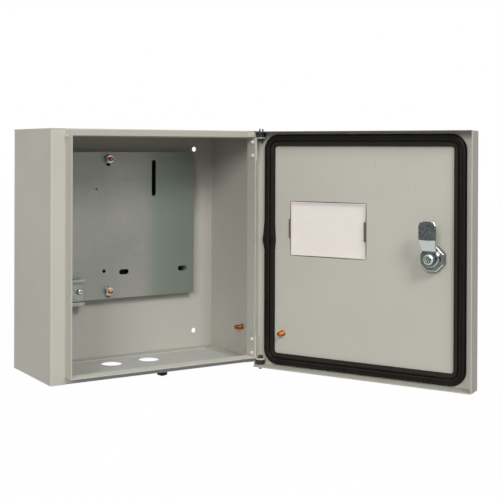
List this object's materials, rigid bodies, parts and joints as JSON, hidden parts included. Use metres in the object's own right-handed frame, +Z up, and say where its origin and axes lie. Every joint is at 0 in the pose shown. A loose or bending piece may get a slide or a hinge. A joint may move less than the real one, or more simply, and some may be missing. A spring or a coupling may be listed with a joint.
{
  "type": "distribution box",
  "caption": "Wall-mounted sheet-steel distribution box with hinged door, meter window, cam lock, mounting plate, short rail and bottom cable entries.",
  "frame": {"origin": "middle of the four wall holes on the outer face of the back", "axes": "+X to the right seen from the front, +Y into the wall, +Z up"},
  "size_m": [0.4309, 0.4071, 0.3209],
  "materials": {
    "paint": "fine satin powder coat, greyish beige",
    "galvanised": "dull galvanised sheet",
    "zinc": "bright zinc plating",
    "copper": "copper-coated steel",
    "rubber": "matt with a soft sheen",
    "black_plastic": "glossy moulded",
    "dark_plastic": "moulded",
    "clear_plastic": "clear moulded",
    "lock_metal": "plated die casting"
  },
  "bodies": {
    "cabinet": {"body_wrap": "paint", "top_panel": "paint", "bottom_panel": "paint", "mounting_plate": "galvanised", "plate_studs": "copper", "plate_rear_nuts": "zinc", "plate_washers": "zinc", "plate_nuts": "zinc", "din_rail": "galvanised", "rail_screws": "zinc", "earth_stud_wall": "copper", "outer_earth_stud": "copper", "outer_earth_washer": "zinc", "outer_earth_nut": "zinc", "hinge_bracket_upper": "paint", "hinge_bracket_lower": "paint", "bracket_rivets": "zinc", "hinge_spacer_upper": "black_plastic", "hinge_spacer_lower": "black_plastic", "hinge_pin_upper": "black_plastic", "hinge_pin_lower": "black_plastic"},
    "door": {"door_panel": "paint", "door_gasket": "rubber", "window_pane": "clear_plastic", "window_clips": "dark_plastic", "lock_housing": "lock_metal", "lock_nut": "lock_metal", "earth_stud_door": "copper"},
    "latch": {"lock_barrel": "lock_metal", "lock_cam": "zinc", "cam_screw": "zinc"}
  },
  "joints": [
    {"name": "door_hinge", "type": "hinge", "parent": "cabinet", "child": "door", "pos_m": [0.141, -0.1425, 0], "axis": [0, 0, 1], "range_deg": [-117.5, 2.5]},
    {"name": "latch", "type": "hinge", "parent": "door", "child": "latch", "pos_m": [0.2502, -0.35228, -0.0012], "axis": [0.887, 0.4617, 0], "range_deg": [0, 90]}
  ]
}
